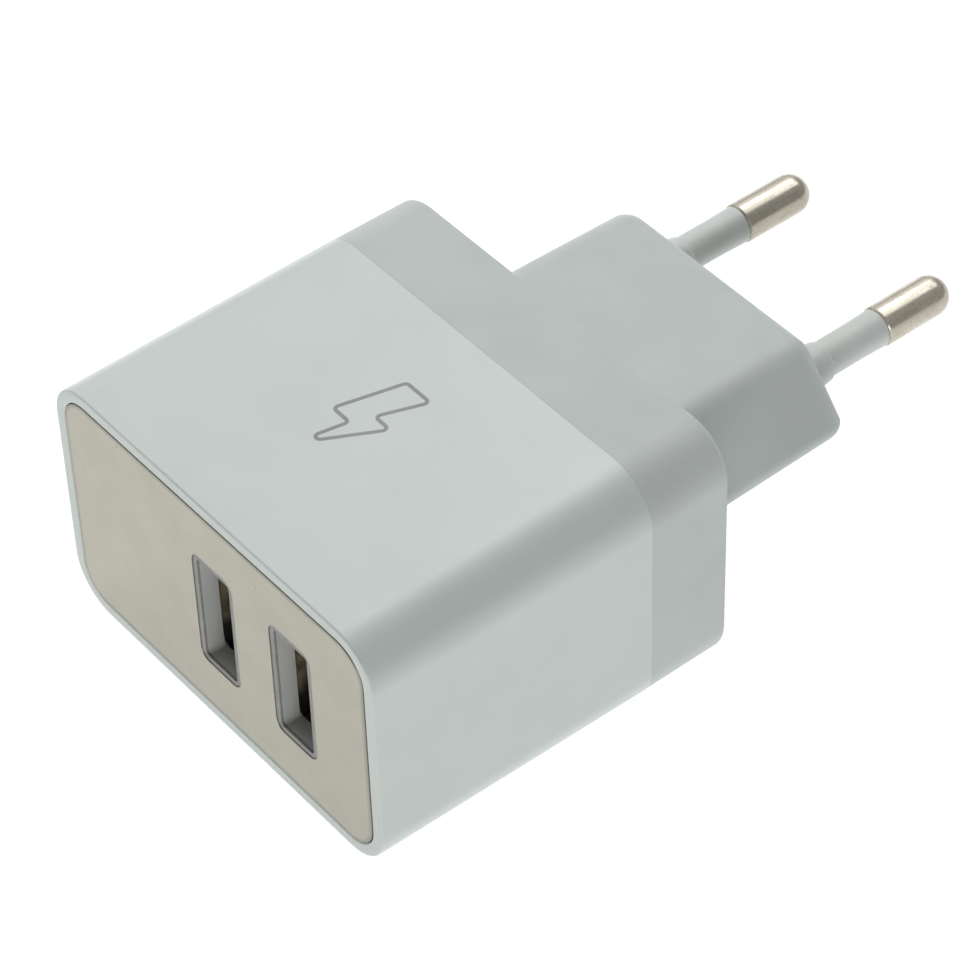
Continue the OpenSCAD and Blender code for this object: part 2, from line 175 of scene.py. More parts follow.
COLLAR_R = (INSULATION_HIGH.z - INSULATION_LOW.z) / 2

# Dimensions that the frame's boxes don't show
CORNER_R = 4.9
SMALLEST_R = 0.15
SLEEVE_WALL = 1.6
ADHESIVE_T = 0.1
DRAFT = 0.25
FRONT_EDGE_R = 0.2
RIM_EDGE_R = 0.24
RIM_GAP = 0.04
PLATE_SPREAD = 0.08
PLATE_EDGE = PLATE_INSET - PLATE_SPREAD
SEAM_CHAMFER = 0.03
SEAM_STEP = 0.03
COVER_LEN = 8.8
COVER_WALL = 2.8
COVER_TAPER = 0.06
COVER_EDGE_R = 0.55
LIP_GAP = 0.1
REAR_WALL = 1.8
NOSE_WALL = 2.0
NOSE_END_WALL = 6.0
NOSE_H = 14.26
NOSE_FLAT_W = 24.5
NOSE_POINT_W = 36.4
NOSE_TOP_R = 3.0
NOSE_SIDE_R = 1.5
NOSE_TAPER = 0.3
NOSE_END_R = 2.3
NOSE_ROOT_R = 0.3
BEZEL_W = 0.5
CUTOUT_GAP = 0.02
CUTOUT_R = 1.2
CUTOUT_BEVEL = 0.03
OPENING_R = 0.4
LIP_GROW = -0.09
LIP_SLOPE = 0.05
LIP_ROUND = 0.06
GROOVE_Y = 0.2
GROOVE_W = 0.1
GROOVE_D = 0.14
REBATE_LEN = 0.3
REBATE_GROW = 0.38
PLATE_BEVEL = 0.05
PIN_BARE_STEP = 0.12
PIN_NECK_R = 1.5
PIN_TAIL_R = 1.8
NECK_INSULATION_R = 1.8
INSULATION_END_STEP = 0.12
INSULATION_END_LEN = 3.0
INSULATION_CHAMFER = 0.1
FOOT_END_R = 2.05
FOOT_LEN = 3.1
FOOT_ROUND = 0.5
REAR_Y = SEAM_Y + COVER_LEN
RECESS_Y = PLATE_BACK_Y + ADHESIVE_T

ARC_STEPS = 12
TURN_STEPS = 64
QUARTER_STEPS = 6
DOME_STEPS = 14
NOSE_EDGE_STEPS = 8
SMOOTH_ANGLE = math.radians(32)


def arc_points(start, end, centre, steps):
    """Points along the shorter arc from start to end, both included."""
    first = math.atan2(start.y - centre.y, start.x - centre.x)
    last = math.atan2(end.y - centre.y, end.x - centre.x)
    turn = (last - first + math.pi) % (2 * math.pi) - math.pi
    radius = (start - centre).length
    angles = [first + turn * step / steps for step in range(steps + 1)]
    return [centre + radius * Vector((math.cos(a), math.sin(a))) for a in angles]


def outline(corners, radii, inset=0.0, steps=ARC_STEPS):
    """A counterclockwise outline with an arc in every corner, moved in by an inset."""
    points = []
    for i, corner in enumerate(corners):
        before = (corners[i - 1] - corner).normalized()
        after = (corners[(i + 1) % len(corners)] - corner).normalized()
        half = before.angle(after) / 2
        middle = (before + after).normalized()
        bend = 1 if after.cross(before) > 0 else -1
        spot = corner + bend * middle * inset / math.sin(half)
        radius = max(radii[i] - bend * inset, SMALLEST_R)
        reach = radius / math.tan(half)
        centre = spot + middle * radius / math.sin(half)
        points += arc_points(spot + before * reach, spot + after * reach, centre, steps)
    return points


def rectangle(x, width, height):
    """Corners of a rectangle around (x, MID_Z), counterclockwise seen with X right and Z up."""
    signs = [(1, -1), (1, 1), (-1, 1), (-1, -1)]
    return [Vector((x + sx * width / 2, MID_Z + sz * height / 2)) for sx, sz in signs]


def body_ring(inset):
    """The housing's outline, moved in by an inset."""
    return outline(rectangle(0, BODY_W, BODY_H), [CORNER_R] * 4, inset)


def nose_ring(inset):
    """The six-sided outline of the plug nose."""
    half_h = NOSE_H / 2
    half_flat = NOSE_FLAT_W / 2
    half_point = NOSE_POINT_W / 2
    places = [(half_flat, -half_h), (half_point, 0), (half_flat, half_h),
              (-half_flat, half_h), (-half_point, 0), (-half_flat, -half_h)]
    radii = [NOSE_TOP_R, NOSE_SIDE_R, NOSE_TOP_R] * 2
    return outline([Vector((x, MID_Z + z)) for x, z in places], radii, inset)


def port_ring(node, grow, radius):
    """The outline of a port's opening, grown on every side."""
    low, high = corners_of(node)
    width = high.x - low.x - 2 * BEZEL_W
    height = high.z - low.z - 2 * BEZEL_W
    corners = rectangle((low.x + high.x) / 2, width + 2 * grow, height + 2 * grow)
    return outline(corners, [radius] * 4)


def quarter(from_y, to_y, from_inset, to_inset, steps=QUARTER_STEPS):
    """Stations of a quarter-round edge that leaves along the side and ends along the face."""
    stations = []
    for step in range(steps + 1):
        angle = math.pi / 2 * step / steps
        stations.append((from_y + (to_y - from_y) * math.sin(angle),
                         from_inset + (to_inset - from_inset) * (1 - math.cos(angle))))
    return stations


class Shell:
    """A mesh made from rings of points that lie across the charger."""

    def __init__(self):
        self.mesh = bmesh.new()

    def ring(self, y, points):
        return [self.mesh.verts.new((p.x, y, p.y)) for p in points]

    def join(self, first, second):
        for i in range(len(first)):
            self.mesh.faces.new((first[i - 1], first[i], second[i], second[i - 1]))

    def loft(self, stations, shape, start=None, end=None):
        """Rings at stations of (y, size), joined in order and to the given first and last ring."""
        rings = [self.ring(y, shape(size)) for y, size in stations]
        chain = ([start] if start else []) + rings + ([end] if end else [])
        for first, second in zip(chain, chain[1:]):
            self.join(first, second)
        return rings[0], rings[-1]

    def cap(self, ring, holes=()):
        """A flat face inside a ring, around its holes."""
        loops = [ring, *holes]
        vertices = [vertex for loop in loops for vertex in loop]
        for a, b, c in tessellate_polygon([[vertex.co for vertex in loop] for loop in loops]):
            self.mesh.faces.new((vertices[a], vertices[b], vertices[c]))

    def round_loft(self, centre, profile, steps=TURN_STEPS):
        """Circles about Y at stations of (y, radius), joined in order."""
        angles = [2 * math.pi * step / steps for step in range(steps)]
        circle = [Vector((math.cos(a), math.sin(a))) for a in angles]
        return self.loft(profile, lambda radius: [centre + radius * p for p in circle])

    def turned(self, centre, profile):
        """A solid turned about Y, from stations of (y, radius) that start and end at radius 0."""
        ends = self.round_loft(centre, profile[1:-1])
        for ring, (y, _) in zip(ends, (profile[0], profile[-1])):
            tip = self.mesh.verts.new((centre.x, y, centre.y))
            for i in range(len(ring)):
                self.mesh.faces.new((ring[i - 1], ring[i], tip))

    def finish(self, name, slot, body, replaced=(), smooth=True):
        """Turns the mesh into a finished piece of the charger."""
        bmesh.ops.recalc_face_normals(self.mesh, faces=self.mesh.faces)
        bmesh.ops.scale(self.mesh, vec=(MM, MM, MM), verts=self.mesh.verts)
        data = bpy.data.meshes.new(name)
        self.mesh.to_mesh(data)
        self.mesh.free()
        data.shade_smooth()
        data.set_sharp_from_angle(angle=SMOOTH_ANGLE)
        piece = bpy.data.objects.new(name, data)
        bpy.context.scene.collection.objects.link(piece)
        if smooth:
            weighted = piece.modifiers.new("Flat faces stay flat", "WEIGHTED_NORMAL")
            weighted.keep_sharp = True
            weighted.weight = 100
        data.materials.append(material_of(slot))
        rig.ride(piece, body)
        if slot in RECORD_SLOTS:
            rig.slot(piece, slot)
        if replaced:
            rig.replaces(piece, *replaced)
        return piece


# ---------------------------------------------------------------- materials

class Finish:
    """A procedural material. Its patterns lie in object space and are measured in millimetres."""

    def __init__(self, slot, roughness=0.5, metallic=0.0, coat=0.0, coat_roughness=0.1, ior=1.46):
        self.material = bpy.data.materials.new(slot)
        self.material.use_nodes = True
        self.tree = self.material.node_tree
        self.tree.nodes.clear()
        self.shader = self.node("ShaderNodeBsdfPrincipled")
        output = self.node("ShaderNodeOutputMaterial")
        self.link(self.shader.outputs["BSDF"], output.inputs["Surface"])
        for name, value in (("Roughness", roughness), ("Metallic", metallic), ("IOR", ior),
                            ("Coat Weight", coat), ("Coat Roughness", coat_roughness)):
            self.shader.inputs[name].default_value = value
        self.place = self.node("ShaderNodeTexCoord").outputs["Object"]
        self.normal = None
        self.coloured = None

    def node(self, kind, **settings):
        made = self.tree.nodes.new(kind)
        for name, value in settings.items():
            setattr(made, name, value)
        return made

    def link(self, output, socket):
        self.tree.links.new(output, socket)

    def spread(self, stretch=(1, 1, 1), shift=(0, 0, 0), turn=(0, 0, 0)):
        """Object coordinates in millimetres, stretched, turned or shifted for one pattern."""
        mapping = self.node("ShaderNodeMapping")
        mapping.inputs["Scale"].default_value = [1 / (MM * s) for s in stretch]
        mapping.inputs["Location"].default_value = shift
        mapping.inputs["Rotation"].default_value = [math.radians(a) for a in turn]
        self.link(self.place, mapping.inputs["Vector"])
        return mapping.outputs["Vector"]

    def noise(self, size, detail=3.0, stretch=(1, 1, 1), shift=(0, 0, 0), turn=(0, 0, 0), rough=0.5):
        """Soft noise whose features are about size millimetres across."""
        made = self.node("ShaderNodeTexNoise")
        made.inputs["Scale"].default_value = 1 / size
        made.inputs["Detail"].default_value = detail
        made.inputs["Roughness"].default_value = rough
        self.link(self.spread(stretch, shift, turn), made.inputs["Vector"])
        return made.outputs["Fac"]

    def spots(self, size, shift=(0, 0, 0)):
        """Distance to scattered points that are about size millimetres apart."""
        made = self.node("ShaderNodeTexVoronoi")
        made.inputs["Scale"].default_value = 1 / size
        self.link(self.spread(shift=shift), made.inputs["Vector"])
        return made.outputs["Distance"]

    def bands(self, width, direction, distortion=0.0):
        """Even bands, width millimetres from one to the next."""
        made = self.node("ShaderNodeTexWave", bands_direction=direction)
        made.inputs["Scale"].default_value = math.pi / (10 * width)
        made.inputs["Distortion"].default_value = distortion
        self.link(self.spread(), made.inputs["Vector"])
        return made.outputs["Fac"]

    def scale(self, value, low, high, to_low=0.0, to_high=1.0):
        """A value stretched from one range to another, and held inside it."""
        made = self.node("ShaderNodeMapRange")
        for name, number in (("From Min", low), ("From Max", high),
                             ("To Min", to_low), ("To Max", to_high)):
            made.inputs[name].default_value = number
        self.link(value, made.inputs["Value"])
        return made.outputs["Result"]

    def times(self, first, second):
        made = self.node("ShaderNodeMath", operation="MULTIPLY")
        self.link(first, made.inputs[0])
        self.link(second, made.inputs[1])
        return made.outputs["Value"]

    def blend(self, factor, first, second):
        """Goes from the first colour to the second one as the factor goes from 0 to 1."""
        made = self.node("ShaderNodeMix", data_type="RGBA")
        self.link(factor, made.inputs["Factor"])
        for socket, colour in ((made.inputs[6], first), (made.inputs[7], second)):
            if isinstance(colour, tuple):
                socket.default_value = (*colour, 1)
            else:
                self.link(colour, socket)
        return made.outputs[2]

    def inside(self, half_width, half_height, radius):
        """Distance in from an upright rounded rectangle around (0, MID_Z), good near its outline."""
        corner = Vector((half_width - radius, 0, half_height - radius))
        middle = Vector((0, 0, MID_Z))
        value = self.spread()
        flat = Vector((1, 0, 1))
        for operation, operand in (("SUBTRACT", middle), ("ABSOLUTE", None), ("SUBTRACT", corner),
                                   ("MAXIMUM", Vector()), ("MULTIPLY", flat), ("LENGTH", None)):
            made = self.node("ShaderNodeVectorMath", operation=operation)
            self.link(value, made.inputs[0])
            if operand is not None:
                made.inputs[1].default_value = operand
            value = made.outputs["Value" if operation == "LENGTH" else "Vector"]
        return self.scale(value, radius, 0, 0, radius)

    def along(self, axis):
        """Place along one axis, in millimetres."""
        made = self.node("ShaderNodeSeparateXYZ")
        self.link(self.spread(), made.inputs["Vector"])
        return made.outputs[axis]

    def colour(self, value):
        self.coloured = value
        self.link(value, self.shader.inputs["Base Color"])

    def roughness(self, value, low, high, to_low, to_high):
        self.link(self.scale(value, low, high, to_low, to_high), self.shader.inputs["Roughness"])

    def bump(self, height, depth):
        """Raises the surface by up to depth millimetres where the height is 1."""
        made = self.node("ShaderNodeBump")
        made.inputs["Strength"].default_value = 1
        made.inputs["Distance"].default_value = depth * MM
        self.link(height, made.inputs["Height"])
        if self.normal:
            self.link(self.normal, made.inputs["Normal"])
        self.normal = made.outputs["Normal"]
        self.link(self.normal, self.shader.inputs["Normal"])


def shade(colour, factor):
    return tuple(channel * factor for channel in colour)


def moulded(slot, colour, roughness, grain, grain_depth, variation=0.05, **values):
    """Moulded plastic: slow colour drift, a fine spark-eroded grain, and dull rubbed patches."""
    finish = Finish(slot, roughness=roughness, **values)
    drift = finish.scale(finish.noise(9, 2), 0.35, 0.65)
    speckle = finish.scale(finish.noise(grain, 4), 0.3, 0.7)
    tone = finish.blend(drift, shade(colour, 1 - variation), shade(colour, 1 + variation / 2))
    finish.colour(finish.blend(finish.scale(speckle, 0, 1, 0, 0.5), tone, shade(colour, 1 - variation)))
    finish.roughness(finish.noise(4, 5), 0.3, 0.7, roughness - 0.05, roughness + 0.07)
    finish.bump(speckle, grain_depth)
    return finish


def metal(slot, colour, roughness, variation=0.12, smear=2.5, wave=0.01, **values):
    """Bare metal: tarnish that drifts across it, uneven polish and a slight unevenness."""
    finish = Finish(slot, roughness=roughness, metallic=1.0, **values)
    tarnish = finish.scale(finish.noise(smear, 6), 0.35, 0.7)
    finish.colour(finish.blend(tarnish, shade(colour, 1 + variation / 3), shade(colour, 1 - variation)))
    finish.roughness(finish.noise(smear / 2, 5), 0.3, 0.7, roughness * 0.75, roughness * 1.35)
    finish.bump(finish.noise(smear / 3, 4), wave)
    return finish


def sleeve_plastic():
    """Satin off-white housing with a very fine grain and a few faint handling marks."""
    colour = (0.60, 0.655, 0.625)
    finish = moulded("sleeve_plastic", colour, 0.36, 0.12, 0.0012, 0.03, ior=1.5)
    rubs = finish.scale(finish.noise(1.6, 6, (1, 14, 1), turn=(0, 0, 12)), 0.62, 0.8)
    finish.roughness(rubs, 0, 1, 0.34, 0.42)
    return finish


def cover_plastic():
    """Matt off-white rear cover with a sandblasted grain and a few short scuffs."""
    colour = (0.54, 0.585, 0.56)
    finish = moulded("cover_plastic", colour, 0.55, 0.16, 0.004, 0.045)
    scuffs = finish.scale(finish.noise(0.9, 4, (1, 4, 1), turn=(0, 0, 35)), 0.70, 0.80, 0, 0.6)
    finish.colour(finish.blend(scuffs, finish.coloured, shade(colour, 0.86)))
    finish.bump(scuffs, 0.002)
    return finish


def print_ink():
    """Thin grey printed line."""
    return moulded("print_ink", (0.30, 0.31, 0.30), 0.5, 0.08, 0.001, 0.1)


def bezel_plastic():
    """Grey liner: a darker painted lip, and paler bare plastic inside the opening."""
    finish = moulded("bezel_plastic", (0.50, 0.515, 0.495), 0.42, 0.1, 0.0015, 0.08)
    lip_end_y = BEZEL_FRONT_Y + GROOVE_Y
    inside = finish.scale(finish.along("Y"), lip_end_y, lip_end_y + GROOVE_W)
    wear = finish.scale(finish.noise(1.1, 5), 0.4, 0.75)
    lip = finish.blend(wear, (0.30, 0.305, 0.293), (0.24, 0.244, 0.235))
    finish.colour(finish.blend(inside, lip, finish.coloured))
    return finish


def brushed_plate():
    """Warm nickel-coloured steel: faint brushing, cloudy patches, specks, slanting scratches and painted shade along
    its outer edge.
    """
    finish = Finish("brushed_plate", roughness=0.42, metallic=1.0)
    cloud = finish.scale(finish.noise(3.6, 6), 0.3, 0.72)
    brushing = finish.noise(0.07, 3, (30, 1, 1.2))
    grain = finish.noise(0.12, 5)
    base = finish.blend(cloud, (0.480, 0.470, 0.392), (0.464, 0.454, 0.379))
    brushed = finish.blend(finish.scale(brushing, 0.35, 0.65, 0, 0.22), base, (0.34, 0.33, 0.28))
    speckled = finish.blend(finish.scale(grain, 0.42, 0.70, 0, 0.26), brushed, (0.36, 0.35, 0.30))
    specks = finish.scale(finish.spots(2.4), 0.03, 0.06, 1, 0)
    grime = finish.times(specks, finish.scale(finish.noise(2.2, 2, shift=(7, 3, 1)), 0.5, 0.6))
    # painted shade: the plate darkens along its outer edge, standing in for the shadow in the gap to the sleeve's rim
    edge = finish.inside(BODY_W / 2 - PLATE_EDGE, BODY_H / 2 - PLATE_EDGE, CORNER_R - PLATE_EDGE)
    dirt = finish.scale(edge, 0, 0.5, 0.62, 0)
    edged = finish.blend(dirt, speckled, (0.20, 0.195, 0.175))
    finish.colour(finish.blend(grime, edged, (0.22, 0.19, 0.15)))
    finish.roughness(cloud, 0, 1, 0.41, 0.45)
    finish.bump(brushing, 0.0008)
    scratch = finish.noise(0.35, 2, (1, 1, 26), turn=(0, 38, 0))
    finish.bump(finish.scale(scratch, 0.70, 0.74, 1, 0), 0.004)
    return finish


def nickel_plating():
    """Warm satin nickel with a fine grainy bloom, tarnish and small pits."""
    finish = Finish("nickel_plating", roughness=0.25, metallic=0.36)
    tarnish = finish.scale(finish.noise(1.4, 6, (1, 2, 1)), 0.4, 0.72)
    pits = finish.scale(finish.spots(0.5), 0.06, 0.16, 1, 0)
    pitted = finish.times(pits, finish.scale(finish.noise(1.1, 3, shift=(2, 5, 3)), 0.46, 0.58))
    grain = finish.noise(0.15, 4)
    base = finish.blend(tarnish, (0.66, 0.62, 0.52), (0.55, 0.51, 0.42))
    speckled = finish.blend(finish.scale(grain, 0.45, 0.66, 0, 0.6), base, (0.40, 0.36, 0.28))
    finish.colour(finish.blend(pitted, speckled, (0.24, 0.20, 0.15)))
    finish.roughness(tarnish, 0, 1, 0.22, 0.31)
    finish.bump(grain, 0.004)
    finish.bump(finish.scale(pitted, 0, 1, 1, 0), 0.01)
    return finish


def pin_insulation():
    return moulded("pin_insulation", (0.60, 0.635, 0.612), 0.45, 0.1, 0.002, 0.04)


def adhesive_sheet():
    return moulded("adhesive_sheet", (0.74, 0.72, 0.64), 0.5, 0.3, 0.004, 0.06)


def brass_strip():
    return metal("brass_strip", (0.75, 0.55, 0.22), 0.3)


def socket_steel():
    """Dull tin-plated sheet steel with faint rolling lines, and painted shade that darkens it towards its lower edge.
    """
    finish = metal("socket_steel", (0.72, 0.60, 0.42), 0.5)
    # painted shade: the steel turns near black towards the bottom of the socket, standing in for the shadow deep
    # inside the port
    low = finish.scale(finish.along("Z"), MID_Z - 4.2, MID_Z - 2.2, 1, 0)
    finish.colour(finish.blend(low, finish.coloured, (0.14, 0.135, 0.12)))
    finish.bump(finish.noise(0.06, 3, (1, 40, 1)), 0.002)
    return finish


def socket_plastic():
    return moulded("socket_plastic", (0.022, 0.022, 0.024), 0.5, 0.1, 0.002, 0.15)


def gold_contact():
    return metal("gold_contact", (0.80, 0.58, 0.24), 0.24, smear=1.2, wave=0.004)


def board_green():
    """Solder mask over faint copper tracks."""
    finish = Finish("board_green", roughness=0.3, coat=0.3)
    tracks = finish.scale(finish.bands(2.1, "DIAGONAL", 3), 0.46, 0.54)
    cloud = finish.scale(finish.noise(5, 4), 0.3, 0.7, 0, 0.5)
    green = finish.blend(tracks, (0.012, 0.10, 0.035), (0.03, 0.17, 0.06))
    finish.colour(finish.blend(cloud, green, (0.02, 0.12, 0.05)))
    finish.roughness(finish.noise(0.4, 4), 0.3, 0.7, 0.24, 0.4)
    finish.bump(tracks, 0.02)
    return finish


def tinned_wire():
    return metal("tinned_wire", (0.66, 0.66, 0.64), 0.35, smear=0.8)


def ferrite():
    """Sintered ferrite: dark grey with fine pores."""
    finish = moulded("ferrite", (0.035, 0.035, 0.038), 0.55, 0.2, 0.01, 0.2)
    finish.bump(finish.scale(finish.spots(0.35), 0.06, 0.14), 0.02)
    return finish


def bobbin_plastic():
    return moulded("bobbin_plastic", (0.02, 0.02, 0.022), 0.42, 0.3, 0.003, 0.2)


def copper_wire():
    """Enamelled turns of wire, wound around the upright leg."""
    finish = metal("copper_wire", (0.62, 0.26, 0.11), 0.28)
    turns = finish.bands(0.28, "Z")
    finish.bump(turns, 0.06)
    return finish


def yellow_tape():
    """Wrapped polyester tape with the edges of its layers."""
    finish = moulded("yellow_tape", (0.76, 0.56, 0.05), 0.28, 0.5, 0.004, 0.1, coat=0.3)
    finish.bump(finish.bands(1.7, "Z", 0.6), 0.015)
    return finish


def can_sleeve(slot, colour):
    """Shrink sleeve on a capacitor, drawn tight into shallow ripples."""
    finish = moulded(slot, colour, 0.3, 0.4, 0.003, 0.12, coat=0.4)
    finish.bump(finish.noise(1.5, 3, (1, 1, 4)), 0.03)
    return finish


def can_sleeve_blue():
    return can_sleeve("can_sleeve_blue", (0.014, 0.02, 0.06))


def can_sleeve_green():
    return can_sleeve("can_sleeve_green", (0.012, 0.075, 0.04))


def disc_resin():
    """Dipped resin with soft sags."""
    finish = moulded("disc_resin", (0.03, 0.14, 0.40), 0.24, 0.6, 0.004, 0.12, coat=0.5)
    finish.bump(finish.noise(1.8, 2), 0.05)
    return finish


def inductor_sleeve():
    finish = moulded("inductor_sleeve", (0.016, 0.016, 0.018), 0.4, 0.3, 0.004, 0.2)
    finish.bump(finish.noise(1.2, 3, (1, 1, 3)), 0.03)
    return finish


def fuse_coating():
    return moulded("fuse_coating", (0.20, 0.34, 0.24), 0.5, 0.25, 0.012, 0.12)


def chip_black():
    """Mould compound with a matt etched face."""
    return moulded("chip_black", (0.012, 0.012, 0.013), 0.6, 0.12, 0.006, 0.25)


def chip_white():
    return moulded("chip_white", (0.72, 0.72, 0.69), 0.5, 0.12, 0.005, 0.08)


def chip_ceramic():
    """Tan ceramic with a fine grain and a slight unevenness."""
    finish = moulded("chip_ceramic", (0.36, 0.27, 0.16), 0.45, 0.15, 0.006, 0.15)
    finish.bump(finish.noise(0.3, 3), 0.008)
    return finish


def fibre_sheet():
    """Pressed fibre: short crossing fibres in a warm pale sheet."""
    finish = moulded("fibre_sheet", (0.64, 0.59, 0.44), 0.8, 0.2, 0.01, 0.12)
    finish.bump(finish.noise(0.15, 4, (1, 8, 1), turn=(30, 0, 0)), 0.02)
    return finish


MATERIALS = {}


def material_of(slot):
    """The finish of a material slot, made once."""
    if slot not in MATERIALS:
        MATERIALS[slot] = globals()[slot]().material
    return MATERIALS[slot]


# ---------------------------------------------------------------- housing

def sleeve_bore_shape(node):
    return lambda inset: port_ring(node, BEZEL_W - inset, CUTOUT_R - CUTOUT_GAP)


def build_sleeve():
    """Front sleeve: drafted sides, a rim around the plate's recess, and a wall with two port holes."""
    shell = Shell()
    edge_y = FRONT_Y + FRONT_EDGE_R
    rim_inset = PLATE_EDGE - RIM_GAP
    outside = [(SEAM_Y, SEAM_CHAMFER), (SEAM_Y - SEAM_CHAMFER, 0), (edge_y, DRAFT)]
    outside += quarter(edge_y, FRONT_Y, DRAFT, DRAFT + FRONT_EDGE_R)[1:]
    rim_quarter = quarter(FRONT_Y + RIM_EDGE_R, FRONT_Y, 0, RIM_EDGE_R)
    rim_edge = [(y, rim_inset - inset) for y, inset in rim_quarter]
    outside += rim_edge[::-1] + [(RECESS_Y, rim_inset)]
    seam_ring, floor_ring = shell.loft(outside, body_ring)
    inside = [(WALL_BACK_Y, SLEEVE_WALL), (SEAM_Y, SLEEVE_WALL)]
    back_ring, _ = shell.loft(inside, body_ring, end=seam_ring)
    bores = [shell.loft([(RECESS_Y, 0), (WALL_BACK_Y, 0)], sleeve_bore_shape(node))
             for node in ("port_bezel_1", "port_bezel_2")]
    shell.cap(floor_ring, [front for front, _ in bores])
    shell.cap(back_ring, [back for _, back in bores])
    shell.finish("housing_sleeve", "sleeve_plastic", "charger", ["front_sleeve"])


def build_cover():
    """Rear cover: lip, short side wall, rear face and the hollow plug nose that grows out of it."""
    shell = Shell()
    edge_y = REAR_Y - COVER_EDGE_R
    inside_y = REAR_Y - REAR_WALL
    outside = [(LIP_Y, COVER_WALL), (LIP_Y, SLEEVE_WALL + LIP_GAP), (SEAM_Y, SLEEVE_WALL + LIP_GAP)]
    outside += [(SEAM_Y, SEAM_STEP + SEAM_CHAMFER), (SEAM_Y + SEAM_CHAMFER, SEAM_STEP)]
    outside.append((edge_y, COVER_TAPER))
    outside += quarter(edge_y, REAR_Y, COVER_TAPER, COVER_TAPER + COVER_EDGE_R)[1:]
    lip_ring, rear_ring = shell.loft(outside, body_ring)
    root = [(REAR_Y + NOSE_ROOT_R - NOSE_ROOT_R * math.sin(angle), -NOSE_ROOT_R * (1 - math.cos(angle)))
            for angle in (math.pi / 2, math.pi / 4, 0)]
    nose_edge_y = NOSE_Y - NOSE_END_R
    nose = root + quarter(nose_edge_y, NOSE_Y, NOSE_TAPER, NOSE_TAPER + NOSE_END_R, NOSE_EDGE_STEPS)
    root_ring, end_ring = shell.loft(nose, nose_ring)
    shell.cap(rear_ring, [root_ring])
    shell.cap(end_ring)
    cavity = [(inside_y, NOSE_WALL), (NOSE_Y - NOSE_END_WALL, NOSE_WALL)]
    cavity_ring, cavity_end = shell.loft(cavity, nose_ring)
    inside_ring, _ = shell.loft([(inside_y, COVER_WALL)], body_ring, end=lip_ring)
    shell.cap(inside_ring, [cavity_ring])
    shell.cap(cavity_end)
    shell.finish("housing_cover", "cover_plastic", "charger", ["rear_cover"])


def build_plate():
    """Thin front plate with bevelled edges and two cutouts."""
    shell = Shell()
    bevel_y = FRONT_Y + PLATE_BEVEL
    outside = [(PLATE_BACK_Y, PLATE_EDGE), (bevel_y, PLATE_EDGE), (FRONT_Y, PLATE_EDGE + PLATE_BEVEL)]
    back_ring, front_ring = shell.loft(outside, body_ring)
    cutouts = []
    for node in ("port_bezel_1", "port_bezel_2"):
        def cutout(grow, node=node):
            return port_ring(node, BEZEL_W + CUTOUT_GAP + grow, CUTOUT_R + grow)
        cutouts.append(shell.loft(
            [(PLATE_BACK_Y, 0), (FRONT_Y + CUTOUT_BEVEL, 0), (FRONT_Y, CUTOUT_BEVEL)], cutout))
    shell.cap(back_ring, [back for back, _ in cutouts])
    shell.cap(front_ring, [front for _, front in cutouts])
    shell.finish("steel_front_plate", "brushed_plate", "charger", ["front_plate"])


def build_bezel(number):
    """Liner of one port: a lip that slopes down to the plate, a fine groove, and the opening's wall."""
    node = f"port_bezel_{number}"
    groove_y = BEZEL_FRONT_Y + GROOVE_Y
    rebate_y = WALL_BACK_Y - REBATE_LEN

    def shape(grow):
        share = max(grow, 0) / BEZEL_W
        return port_ring(node, grow, OPENING_R + share * (CUTOUT_R - CUTOUT_GAP - OPENING_R))

    stations = [(WALL_BACK_Y, BEZEL_W), (BEZEL_FRONT_Y + LIP_SLOPE, BEZEL_W)]
    stations += [(BEZEL_FRONT_Y, LIP_GROW + LIP_ROUND), (BEZEL_FRONT_Y + LIP_ROUND, LIP_GROW)]
    stations += [(groove_y, LIP_GROW), (groove_y, LIP_GROW + GROOVE_D)]
    stations += [(groove_y + GROOVE_W, LIP_GROW + GROOVE_D), (groove_y + GROOVE_W, LIP_GROW)]
    stations += [(rebate_y, LIP_GROW), (rebate_y, REBATE_GROW), (WALL_BACK_Y, REBATE_GROW)]
    shell = Shell()
    first, last = shell.loft(stations, shape)
    shell.join(last, first)
    shell.finish(f"port_frame_{number}", "bezel_plastic", "charger", [node])


# ---------------------------------------------------------------- mains pins

def build_pin(side, label):
    """Mains pin: tail in the nose, neck in the insulation, bare end with a round tip."""
    dome_y = TIP_Y - PIN_R
    profile = [(PIN_LOW.y, 0), (PIN_LOW.y, PIN_TAIL_R), (NOSE_Y, PIN_TAIL_R), (NOSE_Y, PIN_NECK_R)]
    profile += [(BARE_Y, PIN_NECK_R), (BARE_Y, PIN_R - PIN_BARE_STEP), (BARE_Y + PIN_BARE_STEP, PIN_R)]
    for step in range(DOME_STEPS):
        angle = math.pi / 2 * step / DOME_STEPS
        profile.append((dome_y + PIN_R * math.sin(angle), PIN_R * math.cos(angle)))
    profile.append((TIP_Y, 0))
    shell = Shell()
    shell.turned(Vector((side * PIN_X, MID_Z)), profile)
    shell.finish(f"mains_pin_{label}", "nickel_plating", "charger", [f"pin_{label}"], smooth=False)


